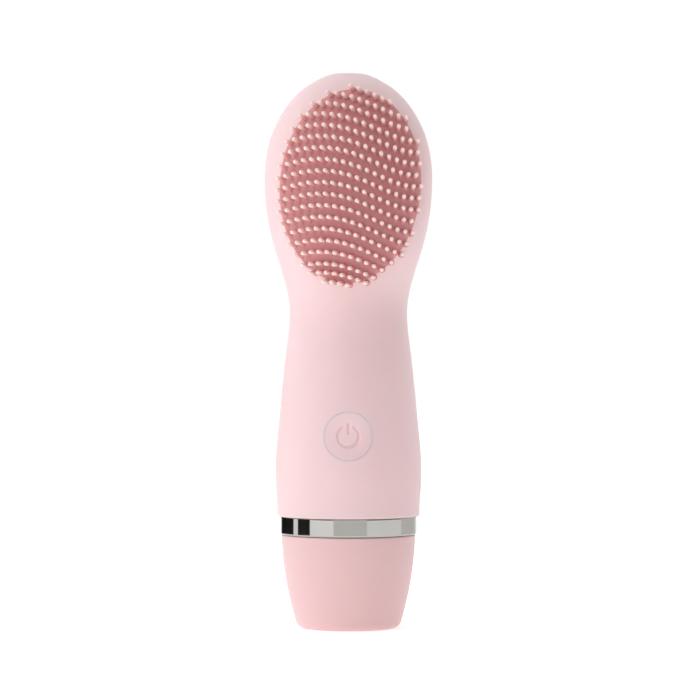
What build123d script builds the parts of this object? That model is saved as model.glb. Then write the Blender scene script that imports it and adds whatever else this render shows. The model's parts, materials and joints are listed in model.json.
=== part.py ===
"""Facial cleansing brush with a spoon-shaped silicone head, a push button and a pull-off battery cap.

Millimetres. +Z is up, and the bristles and the button face -Y.
The origin is the middle of the flat base.
"""

from build123d import *
import math
import os

# ---------------------------------------------------------------- driving sizes
total_height = 140.0  # flat base to crown
head_width = 42.1
head_height = 111.5  # level of the widest part of the head
neck_width = 29.7
neck_height = 81.0
grip_width = 36.9
grip_height = 39.0  # level of the widest part of the grip
skirt_width = grip_width - 0.9  # grip where it meets the trim ring
neck_front_depth = 0.85  # how far the neck reaches forward, as a part of its half width
neck_back_depth = 0.93
head_front_depth = 1.02
head_back_depth = 0.60
lower_steps = 14  # sections between the skirt and the widest part of the head
crown_angles = (14, 27, 39, 50, 60, 69, 77, 84)  # sections above it, in degrees up to the crown

skin_wall = 1.2  # soft silicone sleeve
housing_wall = 1.3  # hard inner halves
skin_gap = 0.05  # between sleeve and housing
slide_gap = 0.10  # around parts that slide
seat_gap = 0.05  # parts of one body that sit together

# Trim ring and cap
ring_bottom = 23.6
ring_top = 28.2
ring_width = skirt_width - 1.4
ring_wall = 1.3
ring_web = 1.2
ring_edge_radius = 0.3
cap_top_width = ring_width - 0.8
cap_bottom_width = 25.6  # where the side would meet the base without its rounding
cap_belly = 0.85  # how far the cap's side bows out from a straight line
cap_edge_radius = 2.0
cap_lip_radius = 0.3
cap_shell_wall = 1.5
cap_shell_floor = 1.5
cap_core_floor = 1.5

# Battery bay
cell_width = 10.5  # AAA cell
cell_body_length = 43.7
cell_nub_length = 0.8
cell_nub_width = 3.8
cell_bottom = 6.45
cell_edge_radius = 0.4
tube_gap = 0.2
tube_wall = 1.35
tube_end_wall = 1.2
tube_radius = cell_width / 2 + tube_gap + tube_wall
cell_top = cell_bottom + cell_body_length + cell_nub_length
collar_width = ring_width - 10.6
collar_wall = 2.0
collar_bottom = 6.0
collar_top = 33.0
holder_floor = 1.5
flange_width = ring_width - 3.6
flange_height = 1.5
seal_section = 1.0
seal_height = 17.0
contact_thickness = 0.4
spring_wire = 0.6
spring_width = 8.0
spring_turns = 2.0
strip_width = 4.0
strip_top = cell_top + 2.05

# Button, switch and circuit board
button_height = 48.7
button_width = 12.0
button_travel = 0.3
dimple_depth = 0.6
glyph_width = 5.9
glyph_line = 0.75
glyph_depth = 0.3
glyph_opening = 70.0  # degrees left open at the top of the ring
button_back = tube_radius + 6.6  # distance of the button's back from the axis
button_skin = 1.4
stem_flange_width = button_width + 2
stem_flange = 0.8
stem_pin_width = 3.0
stem_pin = 0.6
switch_size = 6.0
switch_depth = 2.6
plunger_width = 3.4
plunger_height = 0.75
board_width = 17.0
board_bottom = 34.5
board_top = 63.2
board_thickness = 1.0
board_screw_x = 6.3
board_screw_inset = 3.0  # from the board's upper and lower edges
board_screw_length = 5.0
chip_height = 59.4
chip_width = 5.0
chip_length = 3.9
chip_depth = 1.5
chip_pitch = 1.27
chip_leg = 0.6
switch_leg = 0.8

# Motor
motor_y = -3.5
motor_width = 12.0
motor_bottom = neck_height + 15
motor_length = 16.0
motor_boss_width = 4.0
motor_boss = 1.0
end_cap = 1.6
terminal_length = 2.0
terminal_width = 1.6
shaft_width = 1.5
shaft_top = motor_bottom + 25
weight_width = 10.4
weight_bottom = motor_bottom + 19
weight_length = 5.0
sleeve_wall = 1.2
sleeve_bottom = motor_bottom + 1
sleeve_top = motor_bottom + 15

# Screws
screw_width = 2.0
screw_head_width = 3.9
screw_head = 1.4
screw_length = 9.0
screw_seat = 5.5  # distance behind the parting plane of the screw heads' seats
boss_width = 5.0
grip_screw_x = 11.4
grip_screw_height = 37.5
neck_screw_x = neck_width / 2 - 6.25
neck_screw_height = neck_height - 7
crown_screw_height = head_height + 17
web_thickness = 1.5
tube_web_height = 46.0
screw_head_round = 0.6  # rounding of a head, as a part of its height
screw_point = (0.9, 0.6)  # chamfer of a screw's end, as parts of its radius

# Bristle pad
pad_rise = 0.9  # how far the pad stands above the sleeve
pad_width = head_width - 6.6
pad_top = total_height - 5.0
pad_bottom = neck_height + 5.3
pad_x = 0.5
pad_tilt = -5.0
bristle_length = 3.3
bristle_root = 0.5
bristle_width = 1.05
bristle_tip_width = 0.9
bristle_pitch = 1.97
first_step = 12  # steps within a pitch in which a row's first bristle is looked for
row_pitch = 2.845
chin_rows = 2  # lowest rows, which stand closer
chin_pitch = 2.21
field_x = 0.5
field_width = head_width - 5.2  # outline of the bristle tips
field_top = total_height - 4.3
field_bottom = neck_height + 4.4
field_tilt = -4.5
row_sweep = (5.6, 5.8, -3.4, -2.9)  # fall of a row across the head: slope, bow, twist and end curl
fan_radius_x = 38.0
fan_radius_z = 120.0
fan_x = 10.0  # where the bristles stand straight out
fan_z = neck_height + 11

# Leads
lead_width = 1.1
lead_bend = 1.8
lead_rise = 4.2
motor_lead_x = 2.5
motor_lead_drop = 10.0
solder_reach = 8.0
plus_lead_x = 3.0
battery_lead_x = 4.2

# ---------------------------------------------------------------- shared shapes
head_radius = head_width / 2
contact_bottom = cap_shell_floor + cap_core_floor
contact_top = contact_bottom + contact_thickness
field_length = field_top - field_bottom
pad_tallest = (pad_top + pad_bottom) / 2
field_tallest = (field_top + field_bottom) / 2
bristle_rows = 1 + chin_rows + round((field_length - chin_rows * chin_pitch) / row_pitch)
grip_screws_at = ((-grip_screw_x, grip_screw_height), (grip_screw_x, grip_screw_height))
neck_screws_at = ((-neck_screw_x, neck_screw_height), (neck_screw_x, neck_screw_height))
housing_screws_at = (*grip_screws_at, *neck_screws_at, (0, crown_screw_height))
board_screws_at = [
    (x, z)
    for x in (-board_screw_x, board_screw_x)
    for z in (board_bottom + board_screw_inset, board_top - board_screw_inset)
]


def mix(first, last, share):
    return first + (last - first) * share


def smooth(low, high, value):
    """0 below low, 1 above high and an even S curve between."""
    share = min(max((value - low) / (high - low), 0.0), 1.0)
    return share * share * (3 - 2 * share)


def side_points():
    """The half width of the sleeve from its skirt to the crown, as points (x, 0, z)."""
    grip = grip_width / 2
    neck = neck_width / 2
    return [
        (skirt_width / 2, 0, ring_top),
        (grip, 0, grip_height),
        (mix(grip, neck, 0.22), 0, mix(grip_height, neck_height, 0.28)),
        (mix(grip, neck, 0.80), 0, mix(grip_height, neck_height, 0.76)),
        (neck, 0, neck_height),
        (mix(neck, head_radius, 0.43), 0, mix(neck_height, head_height, 0.36)),
        (mix(neck, head_radius, 0.845), 0, mix(neck_height, head_height, 0.68)),
        (head_radius, 0, head_height),
        (head_radius * 0.93, 0, mix(head_height, total_height, 0.41)),
        (head_radius * 0.745, 0, mix(head_height, total_height, 0.685)),
        (head_radius * 0.475, 0, mix(head_height, total_height, 0.885)),
        (head_radius * 0.315, 0, mix(head_height, total_height, 0.952)),
        (0, 0, total_height),
    ]


def side_outline(inset):
    """The side curve moved inwards by inset."""
    ends = [(0, 0, 1), (-1, 0, 0)]
    outer = Spline(*side_points(), tangents=ends)
    moved = []
    for point in side_points():
        tangent = outer % outer.param_at_point(point)
        moved.append(Vector(point) - Vector(tangent.Z, 0, -tangent.X) * inset)
    return Spline(*moved, tangents=ends)


def reach(outline, height):
    """The half width of an outline at a level."""
    low, high = 0.0, 1.0
    for _ in range(40):
        middle = (low + high) / 2
        if (outline @ middle).Z < height:
            low = middle
        else:
            high = middle
    return (outline @ low).X


def depths(height, inset):
    """How far a section reaches forward and back, as parts of its half width."""
    waist = smooth(mix(grip_height, neck_height, 0.4), neck_height, height)
    swell = smooth(neck_height, mix(neck_height, head_height, 0.55), height)
    hollow = smooth(neck_height - 4, mix(neck_height, head_height, 0.85), height)
    front = 1 - (1 - neck_front_depth) * waist + (head_front_depth - neck_front_depth) * swell
    back = 1 - (1 - neck_back_depth) * waist - (neck_back_depth - head_back_depth) * hollow
    return [(part * head_radius - inset) / (head_radius - inset) for part in (front, back)]


def section(outline, height, inset):
    """Half width, half depth and middle (y) of the body's oval section at a level."""
    half = reach(outline, height)
    front, back = depths(height, inset)
    return half, half * (front + back) / 2, half * (back - front) / 2


def body_form(inset):
    """The solid that the sleeve's surface encloses, moved inwards by inset."""
    outline = side_outline(inset)
    crown = total_height - inset
    lower = [mix(ring_top, head_height, step / lower_steps) for step in range(lower_steps + 1)]
    upper = [mix(head_height, crown, math.sin(math.radians(angle))) for angle in crown_angles]
    ovals = []
    for height in lower + upper:
        half, depth, middle = section(outline, height, inset)
        with BuildSketch(Plane.XY.offset(height)) as oval:
            with Locations((0, middle)):
                Ellipse(depth, half, rotation=90)
        ovals.append(oval.sketch)
    with BuildPart() as form:
        loft(sections=ovals + [Vertex(0, 0, crown)])
    return form.part


def front_disc(x, height, width, near, far):
    """A round bar along Y between two distances in front of the axis."""
    with BuildPart() as disc:
        with BuildSketch(Plane.XZ.offset(near)):
            with Locations((x, height)):
                Circle(width / 2)
        extrude(amount=far - near)
    return disc.part


os.makedirs("parts", exist_ok=True)

housing_inset = skin_wall + skin_gap
core_inset = housing_inset + housing_wall
outer_form = body_form(0)
skin_inner_form = body_form(skin_wall)
housing_form = body_form(housing_inset)
core_form = body_form(core_inset)
pad_form = body_form(-pad_rise)


def pad_prism(extra):
    """The oval column, along Y, that the bristle pad is cut from."""
    with BuildPart() as prism:
        with BuildSketch(Plane.XZ):
            with Locations((pad_x, pad_tallest)):
                Ellipse(pad_width / 2 + extra, (pad_top - pad_bottom) / 2 + extra, rotation=pad_tilt)
        extrude(amount=head_width)
    return prism.part


# ---------------------------------------------------------------- sleeve
button_opening = front_disc(0, button_height, button_width + 2 * slide_gap, 5, grip_width)
with BuildPart() as silicone_skin:
    add(outer_form)
    add(skin_inner_form, mode=Mode.SUBTRACT)
    add(pad_prism(seat_gap), mode=Mode.SUBTRACT)
    add(button_opening, mode=Mode.SUBTRACT)
silicone_skin.part.label = "silicone_skin"
export_step(silicone_skin.part, "parts/silicone_skin.step")

# ---------------------------------------------------------------- bristle pad and bristles
with BuildPart() as bristle_pad:
    add(pad_form)
    add(pad_prism(0), mode=Mode.INTERSECT)
    add(housing_form, mode=Mode.SUBTRACT)
bristle_pad.part.label = "bristle_pad"
export_step(bristle_pad.part, "parts/bristle_pad.step")


def row_level(row):
    """The level, on the middle line, of a row of bristle tips counted from the top."""
    close = max(0, row - (bristle_rows - 1 - chin_rows))
    return field_top - (row - close) * row_pitch - close * chin_pitch


def row_fall(x):
    """How far a row has fallen at x."""
    share = 2 * x / field_width
    return sum(size * share ** (power + 1) for power, size in enumerate(row_sweep))


def in_field(x, z):
    """Whether a tip is inside the tilted oval that the bristles fill."""
    turn = math.radians(field_tilt)
    right, up = x - field_x, z - field_tallest
    across = right * math.cos(turn) + up * math.sin(turn)
    along = up * math.cos(turn) - right * math.sin(turn)
    return (2 * across / field_width) ** 2 + (2 * along / field_length) ** 2 <= 1


pad_outline = side_outline(-pad_rise)


def pad_surface(x, z):
    """The point of the pad's front behind (x, z)."""
    half, depth, middle = section(pad_outline, z, -pad_rise)
    return Vector(x, middle - depth * math.sqrt(max(0, 1 - (x / half) ** 2)), z)


def bristle_planes():
    """A plane at each bristle's foot, with its Z axis along the bristle."""
    planes = []
    for row in range(bristle_rows):
        x = -field_width / 2
        while x < field_width / 2:
            z = row_level(row) - row_fall(x)
            if not in_field(x, z):
                x += bristle_pitch / first_step
                continue
            lean = Vector((x - fan_x) / fan_radius_x, -1, (z - fan_z) / fan_radius_z).normalized()
            foot = pad_surface(x - lean.X * bristle_length, z - lean.Z * bristle_length)
            planes.append(Plane(origin=foot - lean * bristle_root, z_dir=lean))
            x += bristle_pitch
    return planes


with BuildPart() as bristle:
    with BuildSketch(Plane.XZ):
        with BuildLine():
            tip = bristle_tip_width / 2
            shoulder = bristle_root + bristle_length - tip
            foot_corner = (bristle_width / 2, 0)
            Line((0, 0), foot_corner)
            Line(foot_corner, (tip, shoulder))
            RadiusArc((tip, shoulder), (0, shoulder + tip), -tip)
            Line((0, shoulder + tip), (0, 0))
        make_face()
    revolve(axis=Axis.Z)
bristles = Compound([plane.location * bristle.part.solid() for plane in bristle_planes()])
bristles.label = "bristles"
export_step(bristles, "parts/bristles.step")

# ---------------------------------------------------------------- housing halves
strip_back = tube_radius + seat_gap + contact_thickness
board_front = button_back - stem_flange - stem_pin - seat_gap - plunger_height - switch_depth
board_back = board_front - board_thickness
flange_top = ring_top + flange_height


def web(level, y, width):
    """A cross wall inside the housing with a round hole for what it carries."""
    with BuildPart() as wall:
        add(core_form)
        with BuildSketch(Plane.XY.offset(level)):
            Rectangle(2 * head_width, 2 * head_width)
            with Locations((0, y)):
                Circle(width / 2 + seat_gap, mode=Mode.SUBTRACT)
        extrude(amount=web_thickness, mode=Mode.INTERSECT)
    return wall.part


collar_web = web(flange_top + seat_gap, 0, collar_width)
motor_webs = [
    web(level, motor_y, motor_width + 2 * sleeve_wall)
    for level in (sleeve_bottom + web_thickness, sleeve_top - 2 * web_thickness)
]

with BuildPart() as tube_web:
    add(web(tube_web_height, 0, 2 * tube_radius))
    with BuildSketch(Plane.XY.offset(tube_web_height)):
        with Locations((0, -head_width - board_back + 2 * lead_width)):
            Rectangle(2 * head_width, 2 * head_width)
        with Locations((0, tube_radius)):
            Rectangle(strip_width + 4 * seat_gap, 2 * (strip_back - tube_radius + seat_gap))
    extrude(amount=web_thickness, mode=Mode.SUBTRACT)

with BuildPart() as screw_bosses:
    add(core_form)
    with BuildSketch(Plane.XZ.offset(-head_width)):
        with Locations(*housing_screws_at):
            Circle(boss_width / 2)
    extrude(amount=2 * head_width, mode=Mode.INTERSECT)

with BuildPart() as housing:
    add(housing_form)
    add(core_form, mode=Mode.SUBTRACT)
    add(screw_bosses.part)
    add(collar_web)
    add(tube_web.part)
    for motor_web in motor_webs:
        add(motor_web)
    with BuildSketch(Plane.XY.offset(ring_top)):
        Circle(flange_width / 2 + seat_gap)
    extrude(amount=flange_height + seat_gap, mode=Mode.SUBTRACT)

with BuildSketch(Plane.XZ) as parting:
    Rectangle(2 * total_height, 2 * total_height)

with BuildPart() as rear_housing:
    add(housing.part)
    extrude(parting.sketch, amount=head_width, mode=Mode.SUBTRACT)
    with BuildSketch(Plane.XZ):
        with Locations(*housing_screws_at):
            Circle(screw_width / 2 + slide_gap)
    extrude(amount=-screw_seat, mode=Mode.SUBTRACT)
    with BuildSketch(Plane.XZ.offset(-screw_seat)):
        with Locations(*housing_screws_at):
            Circle(screw_head_width / 2 + slide_gap)
    extrude(amount=-head_width, mode=Mode.SUBTRACT)
rear_housing.part.label = "rear_housing"
export_step(rear_housing.part, "parts/rear_housing.step")

with BuildPart() as board_posts:
    add(core_form)
    with BuildSketch(Plane.XZ.offset(board_front)):
        with Locations(*board_screws_at):
            Circle(boss_width / 2)
    extrude(amount=head_width, mode=Mode.INTERSECT)

with BuildPart() as front_housing:
    add(housing.part)
    extrude(parting.sketch, amount=-head_width, mode=Mode.SUBTRACT)
    add(board_posts.part)
    add(button_opening, mode=Mode.SUBTRACT)
    with BuildSketch(Plane.XZ):
        with Locations(*housing_screws_at):
            Circle(screw_width / 2)
    extrude(amount=screw_length - screw_seat + slide_gap, mode=Mode.SUBTRACT)
    with BuildSketch(Plane.XZ.offset(board_front)):
        with Locations(*board_screws_at):
            Circle(screw_width / 2)
    extrude(amount=board_screw_length - board_thickness + slide_gap, mode=Mode.SUBTRACT)
front_housing.part.label = "front_housing"
export_step(front_housing.part, "parts/front_housing.step")


# ---------------------------------------------------------------- screws
def screw(length):
    """A cross-head screw whose head's underside is at the origin, pointing down."""
    radius = screw_width / 2
    with BuildPart() as body:
        with BuildSketch(Plane.XY):
            Circle(screw_head_width / 2)
        extrude(amount=screw_head)
        fillet(body.faces().sort_by(Axis.Z)[-1].edges(), screw_head * screw_head_round)
        with BuildSketch(Plane.XY.offset(screw_head)):
            Rectangle(screw_width, screw_width / 4)
            Rectangle(screw_width / 4, screw_width)
        extrude(amount=-screw_head / 2, mode=Mode.SUBTRACT)
        with BuildSketch(Plane.XY):
            Circle(radius)
        extrude(amount=-length)
        chamfer(body.faces().sort_by(Axis.Z)[0].edges(), *[radius * part for part in screw_point])
    return body.part.solid()


def driven_forward(places, y, body):
    """Copies of a screw pointing forward, with their seats at y."""
    return Compound([Plane(origin=(x, y, z), z_dir=(0, 1, 0)).location * body for x, z in places])


housing_screws = driven_forward(housing_screws_at, screw_seat, screw(screw_length))
housing_screws.label = "housing_screws"
export_step(housing_screws, "parts/housing_screws.step")
board_screws = driven_forward(board_screws_at, -board_back, screw(board_screw_length))
board_screws.label = "board_screws"
export_step(board_screws, "parts/board_screws.step")

# ---------------------------------------------------------------- battery holder and cell
cell_shoulder = cell_bottom + cell_body_length
tube_top = cell_top + contact_thickness + tube_end_wall
tube_bore = cell_width / 2 + tube_gap
collar_radius = collar_width / 2
seal_radius = collar_radius + slide_gap / 2 - seal_section / 2

with BuildPart() as battery_holder:
    with BuildSketch(Plane.XY.offset(collar_bottom)):
        Circle(collar_radius)
        Circle(collar_radius - collar_wall, mode=Mode.SUBTRACT)
    extrude(amount=collar_top - collar_bottom)
    with BuildSketch(Plane.XY.offset(ring_top)):
        Circle(flange_width / 2)
        Circle(collar_radius - collar_wall, mode=Mode.SUBTRACT)
    extrude(amount=flange_height)
    with BuildSketch(Plane.XY.offset(collar_bottom)):
        Circle(collar_radius)
    extrude(amount=holder_floor)
    with BuildSketch(Plane.XY.offset(collar_bottom)):
        Circle(tube_radius)
    extrude(amount=tube_top - collar_bottom)
    with BuildSketch(Plane.XY.offset(collar_bottom)):
        Circle(tube_bore)
    extrude(amount=cell_top + contact_thickness - collar_bottom, mode=Mode.SUBTRACT)
    with BuildSketch(Plane.XY.offset(collar_bottom)):
        with Locations((0, (tube_radius + strip_back) / 2)):
            Rectangle(strip_width + 4 * seat_gap, strip_back - tube_radius + 2 * seat_gap)
    extrude(amount=holder_floor, mode=Mode.SUBTRACT)
    with BuildSketch(Plane.XY.offset(tube_top)):
        with Locations((plus_lead_x, 0)):
            Circle(lead_width / 2 + seat_gap)
    extrude(amount=-tube_end_wall, mode=Mode.SUBTRACT)
    with BuildSketch(Plane.XY.offset(seal_height - seal_section / 2 - seat_gap)):
        Circle(collar_radius + slide_gap)
        Circle(seal_radius - seal_section / 2, mode=Mode.SUBTRACT)
    extrude(amount=seal_section + 2 * seat_gap, mode=Mode.SUBTRACT)
battery_holder.part.label = "battery_holder"
export_step(battery_holder.part, "parts/battery_holder.step")

with BuildPart() as seal_ring:
    with BuildSketch(Plane.XZ):
        with Locations((seal_radius, seal_height)):
            Circle(seal_section / 2)
    revolve(axis=Axis.Z)
seal_ring.part.label = "seal_ring"
export_step(seal_ring.part, "parts/seal_ring.step")

with BuildPart() as battery_cell:
    with BuildSketch(Plane.XY.offset(cell_bottom)):
        Circle(cell_width / 2)
    extrude(amount=cell_body_length)
    fillet(battery_cell.edges().filter_by(GeomType.CIRCLE), cell_edge_radius)
    with BuildSketch(Plane.XY.offset(cell_shoulder)):
        Circle(cell_nub_width / 2)
    extrude(amount=cell_nub_length)
battery_cell.part.label = "battery_cell"
export_step(battery_cell.part, "parts/battery_cell.step")

with BuildPart() as positive_contact:
    with BuildSketch(Plane.XY.offset(cell_top)):
        Circle(tube_bore - seat_gap)
    extrude(amount=contact_thickness)
positive_contact.part.label = "positive_contact"
export_step(positive_contact.part, "parts/positive_contact.step")

with BuildPart() as negative_strip:
    with BuildSketch(Plane.XY.offset(contact_top + seat_gap)):
        with Locations((0, strip_back - contact_thickness / 2)):
            Rectangle(strip_width, contact_thickness)
    extrude(amount=strip_top - contact_top - seat_gap)
negative_strip.part.label = "negative_strip"
export_step(negative_strip.part, "parts/negative_strip.step")

# ---------------------------------------------------------------- trim ring
with BuildPart() as trim_ring:
    with BuildSketch(Plane.XY.offset(ring_bottom)):
        Circle(ring_width / 2)
        Circle(ring_width / 2 - ring_wall, mode=Mode.SUBTRACT)
    extrude(amount=ring_top - ring_bottom)
    with BuildSketch(Plane.XY.offset(ring_top - ring_web)):
        Circle(ring_width / 2)
        Circle(collar_radius + seat_gap, mode=Mode.SUBTRACT)
    extrude(amount=ring_web)
    rims = trim_ring.edges().filter_by(GeomType.CIRCLE).sort_by(SortBy.RADIUS)[-2:]
    fillet(rims, ring_edge_radius)
trim_ring.part.label = "trim_ring"
export_step(trim_ring.part, "parts/trim_ring.step")


# ---------------------------------------------------------------- cap
cap_top = ring_bottom - slide_gap


def cap_form(inset, bottom):
    """The solid inside the cap's side, moved inwards by inset and cut off below bottom."""
    low = (cap_bottom_width / 2 - inset, 0)
    high = (cap_top_width / 2 - inset, cap_top)
    belly = (mix(low[0], high[0], 0.5) + cap_belly, cap_top / 2)
    with BuildPart() as form:
        with BuildSketch(Plane.XZ):
            with BuildLine():
                Polyline(high, (0, cap_top), (0, 0), low)
                ThreePointArc(low, belly, high)
            make_face()
        revolve(axis=Axis.Z)
        split(bisect_by=Plane.XY.offset(bottom), keep=Keep.TOP)
    return form.part


with BuildPart() as base_cap:
    add(cap_form(0, 0))
    fillet(base_cap.faces().sort_by(Axis.Z)[0].edges(), cap_edge_radius)
    add(cap_form(cap_shell_wall, cap_shell_floor), mode=Mode.SUBTRACT)
    fillet(base_cap.edges().group_by(Axis.Z)[-1].sort_by(SortBy.LENGTH)[-1], cap_lip_radius)
base_cap.part.label = "base_cap"
export_step(base_cap.part, "parts/base_cap.step")

cavity_radius = collar_radius + slide_gap
spigot_radius = ring_width / 2 - ring_wall - 2 * slide_gap
contact_radius = collar_radius - collar_wall
with BuildPart() as cap_core:
    add(cap_form(cap_shell_wall, cap_shell_floor))
    with BuildSketch(Plane.XY.offset(cap_top)):
        Circle(cap_top_width / 2 - cap_shell_wall)
    extrude(amount=ring_top - ring_web - 2 * slide_gap - cap_top)
    with BuildSketch(Plane.XY.offset(cap_top)):
        Circle(head_width)
        Circle(spigot_radius, mode=Mode.SUBTRACT)
    extrude(amount=ring_top - cap_top, mode=Mode.SUBTRACT)
    with BuildSketch(Plane.XY.offset(collar_bottom - 4 * slide_gap)):
        Circle(cavity_radius)
    extrude(amount=ring_top, mode=Mode.SUBTRACT)
    with BuildSketch(Plane.XY.offset(contact_bottom)):
        Circle(contact_radius + seat_gap)
    extrude(amount=collar_bottom - contact_bottom, mode=Mode.SUBTRACT)
cap_core.part.label = "cap_core"
export_step(cap_core.part, "parts/cap_core.step")

with BuildPart() as cap_contact:
    with BuildSketch(Plane.XY.offset(contact_bottom)):
        Circle(contact_radius)
    extrude(amount=contact_thickness)
cap_contact.part.label = "cap_contact"
export_step(cap_contact.part, "parts/cap_contact.step")

spring_height = cell_bottom - seat_gap - contact_top
spring_radius = (spring_width - spring_wire) / 2
with BuildPart() as negative_spring:
    with BuildLine() as coil:
        Helix(
            pitch=(spring_height - spring_wire) / spring_turns,
            height=spring_height - spring_wire,
            radius=spring_radius,
            center=(0, 0, contact_top + spring_wire / 2),
        )
    with BuildSketch(Plane(origin=coil.line @ 0, z_dir=coil.line % 0)):
        Circle(spring_wire / 2)
    sweep(is_frenet=True)
negative_spring.part.label = "negative_spring"
export_step(negative_spring.part, "parts/negative_spring.step")

# ---------------------------------------------------------------- button and switch
button_face = section(side_outline(0), button_height, 0)[0]
dimple_radius = button_width / 2
bowl_radius = dimple_radius**2 / (2 * dimple_depth)
waist_curve = 1 / (2 * button_face) - 1 / (2 * bowl_radius)
waist_radius = 1 / (2 * waist_curve)
dimple_floor = button_face - dimple_depth
with BuildPart() as dimple:
    with Locations((0, waist_radius - dimple_floor, button_height)):
        Torus(waist_radius + bowl_radius, bowl_radius)

with BuildPart() as glyph:
    with BuildSketch(Plane.XZ.offset(dimple_floor - glyph_depth)):
        with Locations((0, button_height)):
            Circle(glyph_width / 2)
            Circle(glyph_width / 2 - glyph_line, mode=Mode.SUBTRACT)
        gap_reach = glyph_width / 2 * math.tan(math.radians(glyph_opening / 2))
        with BuildLine():
            wedge = [(0, 0), (gap_reach, glyph_width / 2 + 1), (-gap_reach, glyph_width / 2 + 1)]
            Polyline(*[(x, button_height + z) for x, z in wedge], close=True)
        make_face(mode=Mode.SUBTRACT)
        with Locations((0, button_height + glyph_width / 3)):
            SlotOverall(glyph_width / 2, glyph_line, rotation=90)
    extrude(amount=button_width)

pocket_top = dimple_floor - button_skin
button_pocket = front_disc(0, button_height, button_width - 2 * button_skin, button_back, pocket_top)
with BuildPart() as power_button:
    add(front_disc(0, button_height, button_width, button_back, grip_width))
    add(outer_form, mode=Mode.INTERSECT)
    add(dimple.part, mode=Mode.SUBTRACT)
    add(glyph.part, mode=Mode.SUBTRACT)
    add(button_pocket, mode=Mode.SUBTRACT)
power_button.part.label = "power_button"
export_step(power_button.part, "parts/power_button.step")

stem_back = button_back - stem_flange
with BuildPart() as button_stem:
    add(front_disc(0, button_height, stem_flange_width, stem_back, button_back))
    add(body_form(core_inset + slide_gap), mode=Mode.INTERSECT)
    add(button_pocket)
    add(front_disc(0, button_height, stem_pin_width, stem_back - stem_pin, stem_back))
button_stem.part.label = "button_stem"
export_step(button_stem.part, "parts/button_stem.step")

switch_face = board_front + switch_depth
plunger_floor = switch_face - plunger_height - button_travel
plunger_bore = plunger_width + slide_gap
with BuildPart() as tact_switch:
    with BuildSketch(Plane.XZ.offset(board_front)):
        with Locations((0, button_height)):
            Rectangle(switch_size, switch_size)
    extrude(amount=switch_depth)
    fillet(tact_switch.edges().filter_by(Axis.Y), cell_edge_radius)
    with BuildSketch(Plane.XZ.offset(board_front)):
        with Locations((0, button_height)):
            with GridLocations(switch_size + switch_leg, switch_size * 0.75, 2, 2):
                Rectangle(switch_leg, switch_leg)
    extrude(amount=contact_thickness)
    add(
        front_disc(0, button_height, plunger_bore, plunger_floor - slide_gap, grip_width),
        mode=Mode.SUBTRACT,
    )
tact_switch.part.label = "tact_switch"
export_step(tact_switch.part, "parts/tact_switch.step")

with BuildPart() as switch_plunger:
    plunger_back = plunger_floor + button_travel
    add(front_disc(0, button_height, plunger_width, plunger_back, switch_face + plunger_height))
switch_plunger.part.label = "switch_plunger"
export_step(switch_plunger.part, "parts/switch_plunger.step")

with BuildPart() as circuit_board:
    with BuildSketch(Plane.XZ.offset(board_back)):
        with Locations((0, (board_bottom + board_top) / 2)):
            RectangleRounded(board_width, board_top - board_bottom, board_thickness)
        with Locations(*board_screws_at):
            Circle(screw_width / 2 + slide_gap, mode=Mode.SUBTRACT)
    extrude(amount=board_thickness)
circuit_board.part.label = "circuit_board"
export_step(circuit_board.part, "parts/circuit_board.step")

with BuildPart() as driver_chip:
    with BuildSketch(Plane.XZ.offset(board_front + slide_gap)):
        with Locations((0, chip_height)):
            Rectangle(chip_width, chip_length)
    extrude(amount=chip_depth)
    chamfer(driver_chip.faces().sort_by(Axis.Y)[0].edges(), contact_thickness / 2)
    with BuildSketch(Plane.XZ.offset(board_front)):
        with Locations((0, chip_height)):
            with GridLocations(chip_pitch, chip_length + chip_leg, 4, 2):
                Rectangle(contact_thickness, 2 * chip_leg)
    extrude(amount=contact_thickness)
driver_chip.part.label = "driver_chip"
export_step(driver_chip.part, "parts/driver_chip.step")

# ---------------------------------------------------------------- motor
motor_top = motor_bottom + motor_length
shaft_bottom = motor_bottom + motor_length / 2
with BuildPart() as motor_can:
    with BuildSketch(Plane.XY.offset(motor_bottom)):
        with Locations((0, motor_y)):
            Circle(motor_width / 2)
    extrude(amount=motor_length)
    fillet(motor_can.faces().sort_by(Axis.Z)[-1].edges(), cell_edge_radius)
    with BuildSketch(Plane.XY.offset(motor_top)):
        with Locations((0, motor_y)):
            Circle(motor_boss_width / 2)
    extrude(amount=motor_boss)
    with BuildSketch(Plane.XY.offset(shaft_bottom - slide_gap)):
        with Locations((0, motor_y)):
            Circle(shaft_width / 2 + seat_gap)
    extrude(amount=motor_length, mode=Mode.SUBTRACT)
motor_can.part.label = "motor_can"
export_step(motor_can.part, "parts/motor_can.step")

with BuildPart() as motor_end_cap:
    with BuildSketch(Plane.XY.offset(motor_bottom - end_cap)):
        with Locations((0, motor_y)):
            Circle(motor_width / 2 - contact_thickness)
    extrude(amount=end_cap)
    with BuildSketch(Plane.XY.offset(motor_bottom - end_cap - terminal_length)):
        with Locations((0, motor_y)):
            with GridLocations(2 * motor_lead_x, 0, 2, 1):
                Rectangle(terminal_width, contact_thickness)
    extrude(amount=terminal_length)
motor_end_cap.part.label = "motor_end_cap"
export_step(motor_end_cap.part, "parts/motor_end_cap.step")

with BuildPart() as motor_sleeve:
    with BuildSketch(Plane.XY.offset(sleeve_bottom)):
        with Locations((0, motor_y)):
            Circle(motor_width / 2 + sleeve_wall)
            Circle(motor_width / 2, mode=Mode.SUBTRACT)
    extrude(amount=sleeve_top - sleeve_bottom)
motor_sleeve.part.label = "motor_sleeve"
export_step(motor_sleeve.part, "parts/motor_sleeve.step")

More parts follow.
